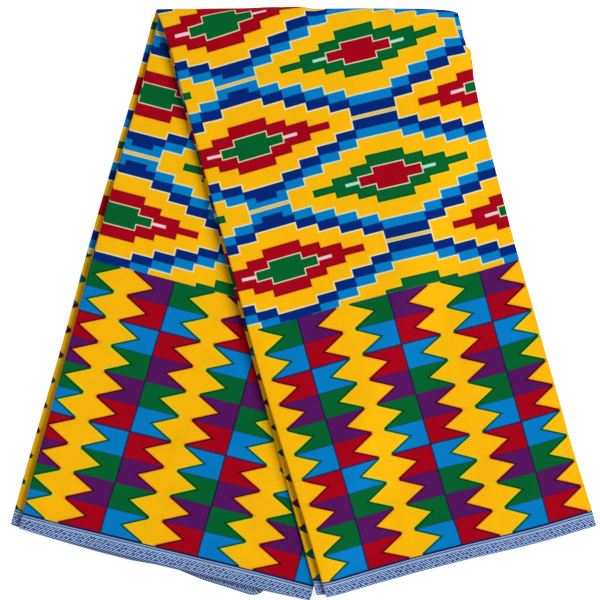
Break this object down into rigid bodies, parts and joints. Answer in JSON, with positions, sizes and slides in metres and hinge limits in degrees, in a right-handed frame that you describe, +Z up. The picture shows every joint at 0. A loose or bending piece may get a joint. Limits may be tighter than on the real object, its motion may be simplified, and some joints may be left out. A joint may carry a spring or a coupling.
{
  "type": "folded length of printed cotton cloth",
  "caption": "Length of kente-style printed cotton, folded back and forth into a strip and folded over once on a slant, so that its two halves fan out flat.",
  "frame": {"origin": "bottom centre of the folded cloth's outline, on the surface that it lies on", "axes": "+Z up from the surface, +Y towards the top fold, +X towards the right panel's open edge"},
  "size_m": [0.5882, 0.5942, 0.02],
  "materials": {
    "printed_cotton": "woven cotton with a matte wax print"
  },
  "bodies": {
    "root": {"folded_cloth": "printed_cotton"}
  },
  "joints": []
}
